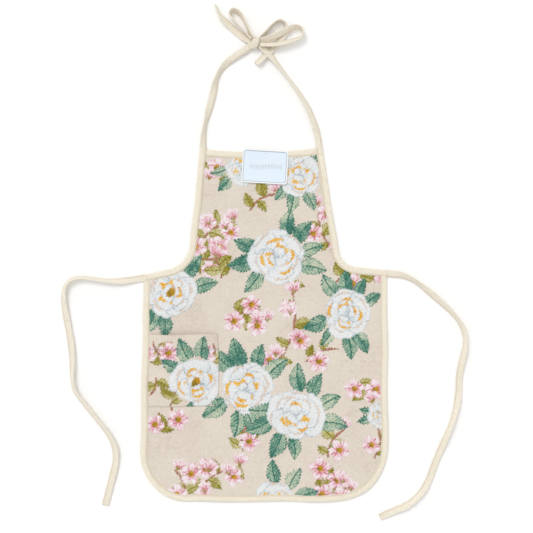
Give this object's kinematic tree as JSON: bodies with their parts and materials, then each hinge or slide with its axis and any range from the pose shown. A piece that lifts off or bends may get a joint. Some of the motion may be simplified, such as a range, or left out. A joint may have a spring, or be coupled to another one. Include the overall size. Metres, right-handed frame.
{
  "type": "child's bib apron",
  "caption": "Child's bib apron of woven floral chenille with bound edges, a patch pocket, tied neck bow and two waist ties, laid flat.",
  "frame": {"origin": "middle of the bound outline's width and length, on the surface that the apron lies on", "axes": "+Y along the apron from hem to neck, +X to the right seen from the front, +Z out of the front face"},
  "size_m": [0.5708, 0.7212, 0.01],
  "materials": {
    "floral_chenille": "woven chenille, matt, printed-look floral weave on a beige ground",
    "pocket_chenille": "the same woven chenille, its own cut of the pattern",
    "binding_tape": "cream cotton twill bias tape, matt",
    "tie_tape": "cream cotton twill bias tape folded shut, matt",
    "thread": "cream sewing thread, slight sheen",
    "card": "pale blue coated card with a grey border line",
    "clear_plastic": "translucent plastic tag pin"
  },
  "bodies": {
    "apron": {"body_panel": "floral_chenille", "pocket": "pocket_chenille", "left_armhole_binding": "binding_tape", "right_armhole_binding": "binding_tape", "neckline_binding": "binding_tape", "side_and_hem_binding": "binding_tape", "left_armhole_stitching": "thread", "right_armhole_stitching": "thread", "neckline_stitching": "thread", "side_and_hem_stitching": "thread", "pocket_stitching": "thread", "pocket_hem_stitching": "thread", "pocket_corner_tacks": "thread", "neck_corner_tacks": "thread", "waist_corner_tacks": "thread", "tag_pin": "clear_plastic"},
    "left_waist_tie": {"left_waist_tie": "tie_tape", "left_waist_tie_end_stitch": "thread"},
    "right_waist_tie": {"right_waist_tie": "tie_tape", "right_waist_tie_end_stitch": "thread"},
    "neck_loop": {"left_neck_tie": "tie_tape", "right_neck_tie": "tie_tape", "bow_knot": "tie_tape", "left_bow_loop": "tie_tape", "right_bow_loop": "tie_tape", "left_bow_tail": "tie_tape", "right_bow_tail": "tie_tape", "bow_tail_end_stitches": "thread"},
    "hang_tag": {"hang_tag": "card"}
  },
  "joints": [
    {"name": "neck_loop_fold", "type": "hinge", "parent": "apron", "child": "neck_loop", "pos_m": [0, 0.24765, 0.00275], "axis": [1, 0, 0], "range_deg": [0, 170]},
    {"name": "left_waist_tie_swing", "type": "hinge", "parent": "apron", "child": "left_waist_tie", "pos_m": [-0.1734, 0.0642, 0.0009], "axis": [0, 0, 1], "range_deg": [-30, 5]},
    {"name": "right_waist_tie_swing", "type": "hinge", "parent": "apron", "child": "right_waist_tie", "pos_m": [0.1771, 0.0712, 0.0009], "axis": [0, 0, 1], "range_deg": [-5, 30]},
    {"name": "hang_tag_swivel", "type": "hinge", "parent": "apron", "child": "hang_tag", "pos_m": [0.0023, 0.23907, 0.00325], "axis": [0, 0, 1], "range_deg": [-60, 60]}
  ]
}
